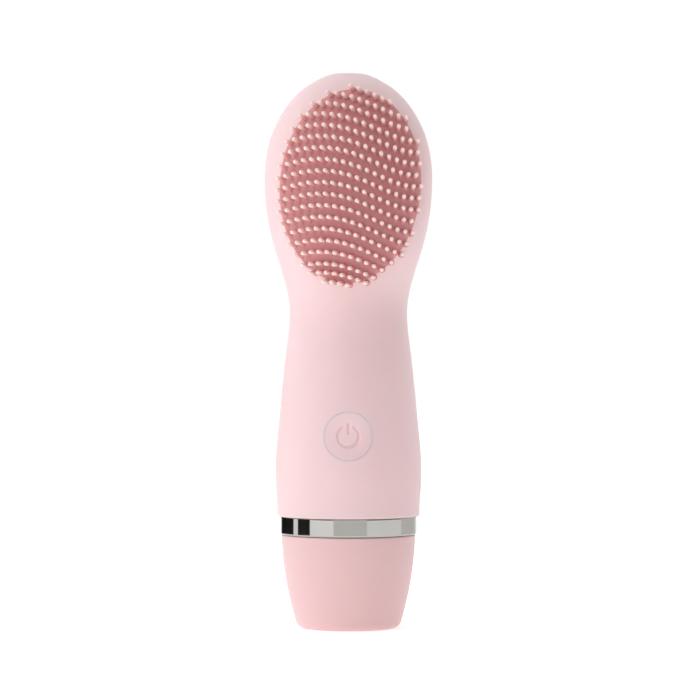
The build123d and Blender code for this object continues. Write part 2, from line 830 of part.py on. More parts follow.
with BuildPart() as motor_shaft:
    with BuildSketch(Plane.XY.offset(shaft_bottom)):
        with Locations((0, motor_y)):
            Circle(shaft_width / 2)
    extrude(amount=shaft_top - shaft_bottom)
motor_shaft.part.label = "motor_shaft"
export_step(motor_shaft.part, "parts/motor_shaft.step")

with BuildPart() as eccentric_weight:
    with BuildSketch(Plane.XY.offset(weight_bottom)):
        with Locations((0, motor_y)):
            Circle(weight_width / 2)
            Rectangle(weight_width, weight_width, align=(Align.CENTER, Align.MAX), mode=Mode.SUBTRACT)
            Circle(motor_boss_width / 2)
            Circle(shaft_width / 2, mode=Mode.SUBTRACT)
    extrude(amount=weight_length)
eccentric_weight.part.label = "eccentric_weight"
export_step(eccentric_weight.part, "parts/eccentric_weight.step")


# ---------------------------------------------------------------- leads
def lead(*points):
    """A round lead through straight runs joined by arcs."""
    with BuildPart() as wire:
        with BuildLine() as route:
            FilletPolyline(*points, radius=lead_bend)
        with BuildSketch(Plane(origin=route.line @ 0, z_dir=route.line % 0)):
            Circle(lead_width / 2)
        sweep()
    return wire.part.solid()


solder_y = -board_back + lead_width / 2
terminal_end = motor_bottom - end_cap - terminal_length
motor_leads = Compound(
    [
        lead(
            (x, motor_y, terminal_end),
            (x, motor_y, terminal_end - motor_lead_drop),
            (x, solder_y, terminal_end - 2 * motor_lead_drop),
            (x, solder_y, board_top - solder_reach),
        )
        for x in (-motor_lead_x, motor_lead_x)
    ]
)
motor_leads.label = "motor_leads"
export_step(motor_leads, "parts/motor_leads.step")

plus_rise = tube_top + lead_rise
plus_lead = lead(
    (plus_lead_x, 0, cell_top + contact_thickness),
    (plus_lead_x, 0, plus_rise),
    (battery_lead_x, solder_y, plus_rise),
    (battery_lead_x, solder_y, plus_rise - lead_rise),
)
minus_lead = lead(
    (0, strip_back - contact_thickness / 2, strip_top),
    (0, strip_back - contact_thickness / 2, plus_rise),
    (-battery_lead_x, solder_y, plus_rise),
    (-battery_lead_x, solder_y, plus_rise - lead_rise),
)
battery_leads = Compound([plus_lead, minus_lead])
battery_leads.label = "battery_leads"
export_step(battery_leads, "parts/battery_leads.step")
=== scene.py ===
"""Facial cleansing brush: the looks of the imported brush, laid out as an add-on and run as a script."""

import json
import math

import bmesh
import bpy
import numpy as np
from bpy.props import FloatProperty, FloatVectorProperty, IntProperty, PointerProperty
from mathutils import Matrix, Vector
from mathutils.bvhtree import BVHTree


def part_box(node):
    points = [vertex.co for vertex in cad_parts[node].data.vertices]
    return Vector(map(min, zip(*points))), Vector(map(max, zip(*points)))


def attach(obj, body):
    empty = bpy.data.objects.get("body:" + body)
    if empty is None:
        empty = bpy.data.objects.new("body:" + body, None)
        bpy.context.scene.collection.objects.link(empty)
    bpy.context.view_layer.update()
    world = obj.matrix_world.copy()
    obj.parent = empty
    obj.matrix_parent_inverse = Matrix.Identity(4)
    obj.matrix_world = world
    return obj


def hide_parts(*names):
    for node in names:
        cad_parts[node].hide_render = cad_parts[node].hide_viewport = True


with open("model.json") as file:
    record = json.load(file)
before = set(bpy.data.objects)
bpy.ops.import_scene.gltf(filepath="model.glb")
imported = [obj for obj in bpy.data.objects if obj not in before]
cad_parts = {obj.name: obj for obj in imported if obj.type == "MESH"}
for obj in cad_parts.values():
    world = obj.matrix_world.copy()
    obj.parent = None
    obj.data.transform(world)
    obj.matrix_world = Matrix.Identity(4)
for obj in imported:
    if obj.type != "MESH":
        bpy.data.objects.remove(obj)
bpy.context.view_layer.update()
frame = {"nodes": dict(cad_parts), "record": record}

bl_info = {
    "name": "Facial Cleansing Brush",
    "version": (1, 0, 0),
    "blender": (4, 5, 0),
    "location": "View3D > Sidebar > Brush",
    "description": "Silicone face brush with a bristle dome, a push button and a pull-off cap",
    "category": "Add Mesh",
}

MM = 0.001


# ---------------------------------------------------------------- sizes and colours
def colour(name, description, value):
    return FloatVectorProperty(
        name=name, description=description, default=value, subtype="COLOR", min=0, max=1, size=3
    )


def length(name, description, value):
    return FloatProperty(name=name, description=description, default=value, unit="LENGTH", precision=5)


class SleeveSizes(bpy.types.PropertyGroup):
    wall: length("Wall", "Thickness of the soft sleeve", 1.2 * MM)
    lip: length("Lip", "Rounding of the sleeve's free edges", 0.25 * MM)
    segments: IntProperty(name="Segments", description="Faces around the sleeve", default=192)
    rows: IntProperty(name="Rows", description="Rings up to the widest part of the head", default=84)
    smoothing: IntProperty(name="Smoothing", description="Passes that even out the sampled surface", default=4)
    least: length("Least radius", "Nothing nearer the axis than this is the sleeve's outside", 0.6 * MM)
    pad_rise: length("Pad rise", "How far the bristle pad stands above the sleeve", 0.9 * MM)


class PadSizes(bpy.types.PropertyGroup):
    width: length("Width", "Short axis of the bristle pad", 35.5 * MM)
    length: length("Length", "Long axis of the bristle pad", 48.7 * MM)
    tilt: FloatProperty(
        name="Tilt", description="Lean of the pad to the right", default=math.radians(5.0), subtype="ANGLE"
    )
    rim: length("Rim", "Rounding of the pad's edge", 0.5 * MM)
    bristle_sides: IntProperty(name="Bristle sides", description="Faces around a bristle", default=14)
    bristle_foot: length("Bristle foot", "Reach of the fillet around a bristle's foot", 0.3 * MM)
    bristle_width: length("Bristle width", "Width of a bristle above its foot", 1.05 * MM)
    tip_width: length("Tip width", "Width of a bristle's round tip", 1.04 * MM)
    sunk: length("Sunk edge", "How far the pad's edge reaches into the sleeve", 1.6 * MM)


class ButtonSizes(bpy.types.PropertyGroup):
    radius: length("Radius", "Radius of the button", 6.0 * MM)
    gap: length("Gap", "Gap around the button", 0.02 * MM)
    edge: length("Edge", "Rounding of the button and of its hole", 0.04 * MM)
    rings: IntProperty(name="Rings", description="Rings across the button", default=64)
    dimple: length("Dimple", "Depth of the finger dimple", 0.75 * MM)
    sign_radius: length("Sign radius", "Radius of the power sign's ring", 2.575 * MM)
    sign_soft: length("Sign softness", "Width over which the groove's side falls", 0.24 * MM)
    sign_line: length("Sign line", "Width of the engraved line", 0.75 * MM)
    sign_depth: length("Sign depth", "Depth of the engraved line", 0.34 * MM)
    sign_gap: FloatProperty(
        name="Sign gap", description="Half of the opening in the ring", default=math.radians(34.0), subtype="ANGLE"
    )


class BaseSizes(bpy.types.PropertyGroup):
    gap: length("Gap", "Gap between the ring and the cap", 0.1 * MM)
    ring_wall: length("Ring wall", "Thickness of the trim ring's band", 1.3 * MM)
    ring_web: length("Ring web", "Thickness of the ring's flat web", 1.2 * MM)
    ring_bore: length("Ring bore", "Inner radius of the ring's web", 12.05 * MM)
    ring_edge: length("Ring edge", "Rounding of the ring's outer edges", 0.3 * MM)
    cap_wall: length("Cap wall", "Thickness of the cap's soft shell", 1.5 * MM)
    cap_edge: length("Cap edge", "Rounding around the flat base", 2.0 * MM)
    cap_lip: length("Cap lip", "Rounding of the cap's upper edge", 0.3 * MM)


class FinishColours(bpy.types.PropertyGroup):
    skin: colour("Skin", "Soft silicone of the sleeve, the button and the cap", (0.90, 0.67, 0.69))
    # Pad: painted shade and painted bounce light between the bristles, darker and deeper pink than the skin
    pad: colour("Pad", "Rose silicone between the bristles", (0.68, 0.31, 0.32))
    # Bristle: painted light at the bristles' tips, lighter than the skin
    bristle: colour("Bristle", "Silicone at the bristles' tips", (1.0, 0.76, 0.72))
    chrome: colour("Chrome", "Plating of the trim ring", (0.44, 0.435, 0.415))
    plastic: colour("Plastic", "Moulded inner parts", (0.78, 0.76, 0.74))


class StageSettings(bpy.types.PropertyGroup):
    distance: length("Camera distance", "From the brush's axis to the camera", 0.75)
    height: length("Camera height", "Height of the level camera", 0.070)
    shown: length("Shown width", "Width that the frame spans at the brush's axis", 0.1769)
    aside: length("Aside", "How far the camera stands to the right of the axis", 0.00038)
    key: FloatProperty(name="Key light", description="Power of the key light", default=3.15, subtype="POWER")
    side: FloatProperty(name="Side light", description="Power of the light at the left", default=0.15, subtype="POWER")
    floor_gap: length("Floor gap", "Gap between the cap's base and the floor", 0.02 * MM)
    floor_glow: FloatProperty(name="Floor glow", description="Light that the floor sheet gives off", default=0.4)
    dim: FloatProperty(name="Dim side", description="Strength of the surround at its darkest", default=0.14)
    dim_tint: colour("Dim tint", "Warm tint of the surround's dark side", (1.0, 0.82, 0.72))
    bright_side: FloatVectorProperty(
        name="Bright side", description="Where the surround is brightest", default=(-0.36, 0.83, 0.4), subtype="DIRECTION"
    )


# ---------------------------------------------------------------- shader expressions
class Signal:
    """A shader socket that can be used in Python arithmetic."""

    def __init__(self, finish, socket):
        self.finish = finish
        self.socket = socket

    def _math(self, operation, first, second):
        return self.finish.node("ShaderNodeMath", {"operation": operation}, {0: first, 1: second})

    def __add__(self, other):
        return self._math("ADD", self, other)

    def __radd__(self, other):
        return self._math("ADD", other, self)

    def __sub__(self, other):
        return self._math("SUBTRACT", self, other)

    def __rsub__(self, other):
        return self._math("SUBTRACT", other, self)

    def __mul__(self, other):
        return self._math("MULTIPLY", self, other)

    def __rmul__(self, other):
        return self._math("MULTIPLY", other, self)

    def __pow__(self, other):
        return self._math("POWER", self, other)

    def clamped(self, low, high):
        """This value as a share of the way from low to high, kept between 0 and 1."""
        return self.finish.node(
            "ShaderNodeMapRange", {"clamp": True}, {"Value": self, "From Min": low, "From Max": high}
        )


class Finish:
    """A procedural material."""

    def __init__(self, name, **constants):
        self.material = bpy.data.materials.new(name)
        self.material.use_nodes = True
        self.tree = self.material.node_tree
        self.tree.nodes.clear()
        self.shader = self.tree.nodes.new("ShaderNodeBsdfPrincipled")
        output = self.tree.nodes.new("ShaderNodeOutputMaterial")
        self.tree.links.new(self.shader.outputs[0], output.inputs["Surface"])
        for socket, value in constants.items():
            self.set(socket.replace("_", " "), value)

    def set(self, socket, value):
        """Sets a socket of the surface shader, or links a signal to it."""
        self._feed(self.shader.inputs[socket], value)

    def _feed(self, socket, value):
        if isinstance(value, Signal):
            self.tree.links.new(value.socket, socket)
        elif socket.type == "RGBA" and len(value) == 3:
            socket.default_value = (*value, 1)
        else:
            socket.default_value = value

    def node(self, kind, settings=None, inputs=None, output=0):
        """Adds a node with its settings, then its inputs, and gives one of its outputs."""
        node = self.tree.nodes.new(kind)
        for name, value in (settings or {}).items():
            if name == "stops":
                ramp = node.color_ramp
                while len(ramp.elements) < len(value):
                    ramp.elements.new(0.5)
                for element, (place, shade) in zip(ramp.elements, value):
                    element.position = place
                    element.color = (*shade, 1)
            else:
                setattr(node, name, value)
        for key, value in (inputs or {}).items():
            if isinstance(key, int):
                socket = node.inputs[key]
            else:
                socket = next(s for s in node.inputs if key in (s.identifier, s.name))
            self._feed(socket, value)
        if isinstance(output, int):
            return Signal(self, node.outputs[output])
        return Signal(self, next(s for s in node.outputs if output in (s.identifier, s.name)))

    def place(self, stretch=(1, 1, 1)):
        """Object coordinates, stretched."""
        point = self.node("ShaderNodeTexCoord", output="Object")
        return self.node("ShaderNodeVectorMath", {"operation": "MULTIPLY"}, {0: point, 1: stretch})

    def noise(self, scale, detail=2.0, stretch=(1, 1, 1), roughness=0.5):
        return self.node(
            "ShaderNodeTexNoise",
            {"noise_dimensions": "3D"},
            {"Vector": self.place(stretch), "Scale": scale, "Detail": detail, "Roughness": roughness},
            "Fac",
        )

    def blend(self, share, first, second):
        """A colour between two colours."""
        return self.node(
            "ShaderNodeMix",
            {"data_type": "RGBA"},
            {"Factor_Float": share, "A_Color": first, "B_Color": second},
            "Result_Color",
        )

    def bump(self, height, distance, strength=1.0):
        normal = self.node("ShaderNodeBump", {}, {"Height": height, "Distance": distance, "Strength": strength})
        self.set("Normal", normal)


def shade(colour_value, factor):
    return tuple(min(1.0, part * factor) for part in colour_value)


def silicone(name, tint, roughness, depth, grain, painted_shade_below=0):
    """Soft-touch silicone with a fine powdery grain, slow drifts of tone and painted shade, a darker and warmer tone,
    below a level.
    """
    finish = Finish(name, Subsurface_Weight=0.35, Subsurface_Scale=depth, IOR=1.41)
    finish.set("Subsurface Radius", (1.0, 0.45, 0.4))
    finish.set("Specular IOR Level", 0.42)
    finish.set("Sheen Weight", 0.12)
    finish.set("Sheen Roughness", 0.5)
    drift = finish.noise(45, 3)
    powder = finish.noise(5200, 2)
    even = finish.blend(drift.clamped(0.3, 0.7), shade(tint, 0.975), shade(tint, 1.015))
    if painted_shade_below:
        # Painted shade: below the given height the colour turns darker and warmer
        height = finish.node("ShaderNodeSeparateXYZ", {}, {0: finish.place()}, "Z")
        tone = tuple(part * change for part, change in zip(tint, (0.93, 0.85, 0.84)))
        even = finish.blend(height.clamped(painted_shade_below, painted_shade_below + 0.1 * MM), tone, even)
    finish.set("Base Color", even)
    finish.set("Roughness", roughness + 0.10 * (powder - 0.5) + 0.06 * (drift - 0.5))
    finish.bump(powder, grain)
    return finish.material


def bristle_silicone(name, foot, tip):
    """Bristle silicone: painted shade towards the foot and painted light at the tip, its colour running from the foot
    colour to the tip colour.
    """
    finish = Finish(name, Subsurface_Weight=0.5, Subsurface_Scale=0.8 * MM, Roughness=0.42, IOR=1.41)
    finish.set("Subsurface Radius", (1.0, 0.45, 0.4))
    rise = finish.node("ShaderNodeAttribute", {"attribute_name": "rise"}, output="Fac")
    tone = finish.noise(900, 2)
    # Painted shade and light along each bristle: dark foot colour low down, light tip colour at the top
    ramp = finish.node(
        "ShaderNodeValToRGB",
        {"stops": [(0.0, foot), (0.5, tuple(0.5 * (a + b) for a, b in zip(foot, tip))), (0.8, tip)]},
        {"Fac": rise + 0.08 * (tone - 0.5)},
    )
    finish.set("Base Color", ramp)
    finish.set("Roughness", 0.36 + 0.16 * tone)
    finish.bump(finish.noise(6000, 1), 0.006 * MM)
    return finish.material


def chrome(name, tint):
    """Bright plating with hair-fine polishing marks around the ring."""
    finish = Finish(name, Metallic=1.0)
    marks = finish.noise(900, 3, (1, 1, 12))
    haze = finish.noise(130, 2)
    finish.set("Base Color", finish.blend(haze, shade(tint, 0.97), shade(tint, 1.02)))
    finish.set("Roughness", 0.03 + 0.04 * marks + 0.02 * haze)
    finish.bump(marks, 0.0012 * MM)
    return finish.material


def moulded(name, tint, roughness=0.45):
    """Moulded hard plastic with spark-eroded grain."""
    finish = Finish(name, IOR=1.5)
    spark = finish.noise(3200, 3)
    drift = finish.noise(110, 2)
    finish.set("Base Color", finish.blend(drift, shade(tint, 0.95), shade(tint, 1.04)))
    finish.set("Roughness", roughness + 0.16 * (spark - 0.5))
    finish.bump(spark, 0.012 * MM)
    return finish.material


def rubber(name, tint):
    finish = Finish(name, IOR=1.5)
    bloom = finish.noise(700, 4)
    finish.set("Base Color", finish.blend(bloom.clamped(0.35, 0.75), tint, shade(tint, 2.2)))
    finish.set("Roughness", 0.5 + 0.25 * bloom)
    finish.bump(finish.noise(4000, 2), 0.01 * MM)
    return finish.material


def brushed(name, tint, roughness, stretch):
    """Bare or plated metal with drawn marks along one direction."""
    finish = Finish(name, Metallic=1.0)
    marks = finish.noise(1500, 3, stretch)
    stain = finish.noise(220, 3)
    finish.set("Base Color", finish.blend(stain, shade(tint, 0.86), shade(tint, 1.05)))
    finish.set("Roughness", roughness + 0.18 * (marks - 0.5) + 0.08 * stain)
    finish.bump(marks, 0.004 * MM)
    return finish.material


def board_laminate(name, mask, track):
    """Solder mask with copper tracks that show through as paler bands."""
    finish = Finish(name, IOR=1.5, Roughness=0.3)
    bands = finish.node(
        "ShaderNodeTexWave",
        {"wave_type": "BANDS", "bands_direction": "X"},
        {"Vector": finish.place(), "Scale": 190.0, "Distortion": 3.0, "Detail": 1.0},
        "Fac",
    )
    finish.set("Base Color", finish.blend(bands.clamped(0.62, 0.7), mask, track))
    finish.set("Roughness", 0.28 + 0.2 * finish.noise(1800, 2))
    finish.bump(bands.clamped(0.6, 0.72), 0.02 * MM)
    return finish.material


def cell_wrap(name, dark, bright):
    """Shrink sleeve of the cell: a dark body with a bright band at the positive end."""
    finish = Finish(name, IOR=1.5)
    low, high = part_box("battery_cell")
    place = finish.node("ShaderNodeSeparateXYZ", {}, {0: finish.place()}, "Z")
    band = place.clamped(high.z - 12 * MM, high.z - 11.9 * MM)
    bare = place.clamped(high.z - 1.2 * MM, high.z - 1.1 * MM)
    under = 1 - place.clamped(low.z + 0.5 * MM, low.z + 0.6 * MM)
    metal = finish.blend(bare + under, finish.blend(band, dark, bright), (0.7, 0.69, 0.66))
    finish.set("Base Color", metal)
    finish.set("Metallic", bare + under)
    finish.set("Roughness", 0.3 + 0.12 * finish.noise(600, 3))
    finish.bump(finish.noise(240, 3), 0.03 * MM)
    return finish.material


def lead_jacket(name, red, black):
    """Thin lead covering: red on the positive side, black on the other."""
    finish = Finish(name, IOR=1.5, Roughness=0.4)
    side = finish.node("ShaderNodeSeparateXYZ", {}, {0: finish.place()}, "X")
    tone = finish.blend(side.clamped(0.4 * MM, 0.6 * MM), black, red)
    finish.set("Base Color", tone)
    finish.set("Roughness", 0.35 + 0.2 * finish.noise(900, 2))
    finish.bump(finish.noise(2600, 2), 0.01 * MM)
    return finish.material


def node_finishes(colours):
    """The material of each record slot."""
    skin = tuple(colours.skin)
    pad = tuple(colours.pad)
    along, around = (1, 1, 0.06), (1, 1, 8)
    return {
        # The skin's silicone gets painted shade below the cap's top edge
        "skin_silicone": silicone("skin_silicone", skin, 0.5, 2.2 * MM, 0.006 * MM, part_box("base_cap")[1].z),
        # The pad's colour is painted shade and painted bounce light between the bristles
        "pad_silicone": silicone("pad_silicone", pad, 0.5, 1.2 * MM, 0.006 * MM),
        # Bristles take the pad's painted shade at the foot and painted light at the tip
        "bristle_silicone": bristle_silicone("bristle_silicone", pad, tuple(colours.bristle)),
        "trim_chrome": chrome("trim_chrome", tuple(colours.chrome)),
        "inner_plastic": moulded("inner_plastic", tuple(colours.plastic)),
        "switch_plastic": moulded("switch_plastic", (0.03, 0.03, 0.032), 0.4),
        "end_cap_plastic": moulded("end_cap_plastic", (0.8, 0.79, 0.74), 0.5),
        "seal_rubber": rubber("seal_rubber", (0.018, 0.018, 0.02)),
        "screw_steel": brushed("screw_steel", (0.62, 0.62, 0.6), 0.32, around),
        "contact_metal": brushed("contact_metal", (0.72, 0.69, 0.62), 0.25, along),
        "motor_steel": brushed("motor_steel", (0.6, 0.6, 0.61), 0.3, along),
        "weight_metal": brushed("weight_metal", (0.66, 0.52, 0.27), 0.35, around),
        "board_laminate": board_laminate("board_laminate", (0.01, 0.11, 0.04), (0.03, 0.2, 0.07)),
        "cell_wrap": cell_wrap("cell_wrap", (0.02, 0.022, 0.026), (0.55, 0.42, 0.2)),
        "lead_jacket": lead_jacket("lead_jacket", (0.5, 0.02, 0.02), (0.02, 0.02, 0.02)),
    }


FINISHES = {}


# ---------------------------------------------------------------- mesh helpers
def piece(name, points, faces, body, slot, replaced=()):
    """A smooth mesh piece that rides on a body and takes the finish of a slot."""
    mesh = bpy.data.meshes.new(name)
    mesh.from_pydata([tuple(point) for point in points], [], faces)
    mesh.validate()
    work = bmesh.new()
    work.from_mesh(mesh)
    bmesh.ops.recalc_face_normals(work, faces=work.faces)
    work.to_mesh(mesh)
    work.free()
    mesh.shade_smooth()
    obj = bpy.data.objects.new(name, mesh)
    bpy.context.scene.collection.objects.link(obj)
    mesh.materials.append(FINISHES[slot])
    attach(obj, body)
    if replaced:
        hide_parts(*replaced)
    return obj


def settle(obj, **modifiers):
    """Adds modifiers by type and makes their result the object's mesh."""
    for kind, values in modifiers.items():
        modifier = obj.modifiers.new(kind.lower(), kind)
        for name, value in values.items():
            setattr(modifier, name, value)
    shape = obj.evaluated_get(bpy.context.evaluated_depsgraph_get())
    final = bpy.data.meshes.new_from_object(shape)
    obj.modifiers.clear()
    obj.data = final
    obj.data.shade_smooth()


def rings_to_faces(rings, segments, closed=False):
    """Quads between rings of equal length whose points are numbered ring by ring."""
    faces = []
    for ring in range(rings if closed else rings - 1):
        first, second = ring * segments, (ring + 1) % rings * segments
        for step in range(segments):
            after = (step + 1) % segments
            faces.append((first + step, first + after, second + after, second + step))
    return faces


def rounded(corners, support=0.12 * MM, steps=6):
    """A closed outline of (radius, height, rounding) corners as (radius, height) points with rounded corners."""
    outline = []
    for index, (radius, height, rounding) in enumerate(corners):
        corner = Vector((radius, height))
        before = Vector(corners[index - 1][:2]) - corner
        after = Vector(corners[(index + 1) % len(corners)][:2]) - corner
        if rounding == 0:
            outline.append(corner)
            continue
        half = before.angle(after) / 2
        reach = rounding / math.tan(half)
        middle = corner + (before.normalized() + after.normalized()).normalized() * rounding / math.sin(half)
        start = corner + before.normalized() * reach
        end = corner + after.normalized() * reach
        if before.length > 3 * (reach + support):
            outline.append(start + before.normalized() * support)
        turn = (start - middle).angle_signed(end - middle)
        for step in range(steps + 1):
            arm = (start - middle).copy()
            arm.rotate(Matrix.Rotation(-turn * step / steps, 2))
            outline.append(middle + arm)
        if after.length > 3 * (reach + support):
            outline.append(end + after.normalized() * support)
    return outline


def lathe(name, outline, segments, body, slot, replaced=()):
    """An outline of (radius, height) points turned about the brush's axis; ends on the axis become poles."""
    rings = [point for point in outline if point[0] > 1e-6]
    points = []
    for radius, height in rings:
        for step in range(segments):
            angle = 2 * math.pi * step / segments
            points.append((radius * math.cos(angle), radius * math.sin(angle), height))
    capped = len(rings) < len(outline)
    faces = rings_to_faces(len(rings), segments, not capped)
    if capped:
        for pole, ring in ((outline[0], 0), (outline[-1], len(rings) - 1)):
            points.append((0, 0, pole[1]))
            for step in range(segments):
                after = (step + 1) % segments
                faces.append((ring * segments + step, ring * segments + after, len(points) - 1))
    return piece(name, points, faces, body, slot, replaced)


class CadSurface:
    """The outside of a CAD node, found by casting rays at it."""

    def __init__(self, node):
        mesh = frame["nodes"][node].data
        corners = [vertex.co for vertex in mesh.vertices]
        self.tree = BVHTree.FromPolygons(corners, [polygon.vertices for polygon in mesh.polygons])

    def around(self, angle, height, reach=0.06):
        """The outermost point at an angle about the brush's axis."""
        arm = Vector((math.cos(angle), math.sin(angle), 0))
        hit = self.tree.ray_cast(Vector((0, 0, height)) + arm * reach, -arm)[0]
        return hit

    def reach(self, centre, arm, start=0.08):
        """How far out the surface is from a centre along an arm; 0 or less where the ray passes it by."""
        hit = self.tree.ray_cast(centre + arm * start, -arm)[0]
        return (hit - centre).dot(arm) if hit else 0.0

    def front(self, x, height):
        """The foremost point at x and a height."""
        return self.tree.ray_cast(Vector((x, -0.08, height)), Vector((0, 1, 0)))[0]


# ---------------------------------------------------------------- operators
class BRUSH_OT_finishes(bpy.types.Operator):
    """Make every finish and put it on the inner parts"""

    bl_idname = "brush.finishes"
    bl_label = "Finishes"

    def execute(self, context):
        FINISHES.update(node_finishes(context.scene.brush_colours))
        slots = {part["node"]: part["material_slot"] for part in frame["record"]["subparts"]}
        for name, node in frame["nodes"].items():
            node.data.materials.clear()
            node.data.materials.append(FINISHES[slots[name]])
        return {"FINISHED"}


class BRUSH_OT_sleeve(bpy.types.Operator):
    """Build the soft sleeve over the CAD sleeve's outside, with a round hole for the button"""

    bl_idname = "brush.sleeve"
    bl_label = "Sleeve"

    def execute(self, context):
        sizes = context.scene.brush_sleeve
        low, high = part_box("silicone_skin")
        rows = sleeve_rows(low.z + sizes.lip, high.z, sizes.rows)
        reach = sleeve_reach(rows, sizes)
        points, faces = sleeve_grid(rows, reach, low.z + reach[-1].mean() + rows[-1][0] - low.z, sizes)
        points, faces = open_hole(points, faces, context.scene)
        piece("sleeve", points, faces, "handle", "skin_silicone", ["silicone_skin"])
        return {"FINISHED"}


def sleeve_rows(bottom, top, rows):
    """(level, elevation) of the rays of each ring: level rays up to the widest part, then a fan to the crown."""
    widest = bottom + 0.74 * (top - bottom)
    even = [(level, 0.0) for level in np.linspace(bottom, widest, rows)]
    return even + [(widest, turn) for turn in np.radians(np.arange(2.5, 89, 2.5))]


def ray(column, elevation, segments):
    angle = 2 * math.pi * column / segments
    flat = math.cos(elevation)
    return Vector((flat * math.cos(angle), flat * math.sin(angle), math.sin(elevation)))


def sleeve_reach(rows, sizes):
    """The sleeve's distance from the axis along every ray, smoothed over the surface."""
    skin, pad = CadSurface("silicone_skin"), CadSurface("bristle_pad")
    reach = np.zeros((len(rows), sizes.segments))
    for row, (level, elevation) in enumerate(rows):
        centre = Vector((0, 0, level))
        for column in range(sizes.segments):
            arm = ray(column, elevation, sizes.segments)
            reach[row, column] = skin.reach(centre, arm)
            if reach[row, column] < sizes.least:
                reach[row, column] = pad.reach(centre, arm) - sizes.pad_rise
    for row, column in np.argwhere(reach < sizes.least):
        known = np.where(reach[row] >= sizes.least)[0]
        away = np.abs((known - column + sizes.segments // 2) % sizes.segments - sizes.segments // 2)
        reach[row, column] = reach[row, known[np.argmin(away)]]
    for _ in range(sizes.smoothing):
        reach = 0.5 * reach + 0.25 * (np.roll(reach, 1, 1) + np.roll(reach, -1, 1))
        reach[1:-1] = 0.5 * reach[1:-1] + 0.25 * (reach[:-2] + reach[2:])
    return reach


def sleeve_grid(rows, reach, top, sizes):
    """Rings from the inside of the lower edge, round its lip, up the outside and to the crown."""
    segments = sizes.segments
    turns = np.radians(np.arange(0, 91, 18))
    lip = [(-sizes.lip * (1 - math.cos(turn)), -sizes.lip * math.sin(turn)) for turn in turns[:0:-1]]
    inside = [(-sizes.wall, 6 * sizes.lip), (-sizes.wall, sizes.lip), (-sizes.wall + sizes.lip / 2, -sizes.lip)]
    rings = [((rows[0][0] + rise, 0.0), reach[0] + move) for move, rise in inside + lip]
    rings += list(zip(rows, reach))
    points = []
    for (level, elevation), ring in rings:
        centre = Vector((0, 0, level))
        points += [centre + ray(column, elevation, segments) * ring[column] for column in range(segments)]
    faces = rings_to_faces(len(rings), segments)
    points.append(Vector((0, 0, top)))
    last = (len(rings) - 1) * segments
    for column in range(segments):
        faces.append((last + column, last + (column + 1) % segments, len(points) - 1))
    return points, faces


def front_fit(centre, inner, outer):
    """The sleeve's front around the button as y = f(x, z), fitted to the CAD sleeve."""
    skin = CadSurface("silicone_skin")
    rows, values = [], []
    for ring in np.linspace(inner, outer, 6):
        for turn in np.linspace(0, 2 * math.pi, 48, endpoint=False):
            x, z = ring * math.cos(turn), ring * math.sin(turn)
            hit = skin.front(x, centre.z + z)
            rows.append(front_terms(x, z))
            values.append(hit.y)
    weights = np.linalg.lstsq(np.array(rows), np.array(values), rcond=None)[0]
    return lambda x, z: float(np.dot(weights, front_terms(x, z)))


def front_terms(x, z):
    """Terms of an even surface across x and a free one along z, scaled to the button's size."""
    x, z = x * 100, z * 100
    return [1, z, z * z, x * x, x * x * z, x**4, z**3]


def button_centre():
    low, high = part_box("power_button")
    return (low + high) / 2


def open_hole(points, faces, scene):
    """Cuts a patch out of the sleeve's grid and fills it with rings down to the button's round hole."""
    radius, wall = scene.brush_button.radius + scene.brush_button.gap, scene.brush_sleeve.wall
    patch = 1.42 * radius
    centre = button_centre()

    depth = abs(CadSurface("silicone_skin").front(0, centre.z + patch).y)

    def inside(index):
        point = points[index]
        return abs(math.atan2(point.x, -point.y)) * depth < patch and abs(point.z - centre.z) < patch

    removed = {index for index in range(len(points)) if inside(index)}
    kept = [face for face in faces if not any(index in removed for index in face)]
    border = {}
    for face in faces:
        if any(index in removed for index in face):
            for first, second in zip(face, face[1:] + face[:1]):
                if first not in removed and second not in removed:
                    border[first] = second
    start = next(iter(border))
    loop = [start]
    while border[loop[-1]] != start:
        loop.append(border[loop[-1]])
    surface = front_fit(centre, radius * 1.04, 1.3 * patch)
    edge = scene.brush_button.edge
    turns = [math.atan2(points[i].z - centre.z, points[i].x) for i in loop]
    steps = [0.8, 0.6, 0.4, 0.2, 0.08]
    sunk = [(edge * (1 - math.sin(turn)), edge * (1 - math.cos(turn))) for turn in np.radians((15, 40, 65, 90))]
    previous = loop
    rings = [(share, None) for share in steps] + [(0, place) for place in sunk] + [(0, (0, wall))]
    for share, place in rings:
        current = []
        for index, turn in zip(loop, turns):
            outer = math.hypot(points[index].x, points[index].z - centre.z)
            out, down = place or (edge, 0)
            ring = radius + out + share * (outer - radius - out)
            x, z = ring * math.cos(turn), ring * math.sin(turn)
            error = points[index].y - surface(points[index].x, points[index].z - centre.z)
            current.append(len(points))
            points.append(Vector((x, surface(x, z) + down + share * error, centre.z + z)))
        for step in range(len(loop)):
            after = (step + 1) % len(loop)
            kept.append((previous[step], previous[after], current[after], current[step]))
        previous = current
    order = {old: new for new, old in enumerate(i for i in range(len(points)) if i not in removed)}
    return [points[i] for i in order], [tuple(order[i] for i in face) for face in kept]


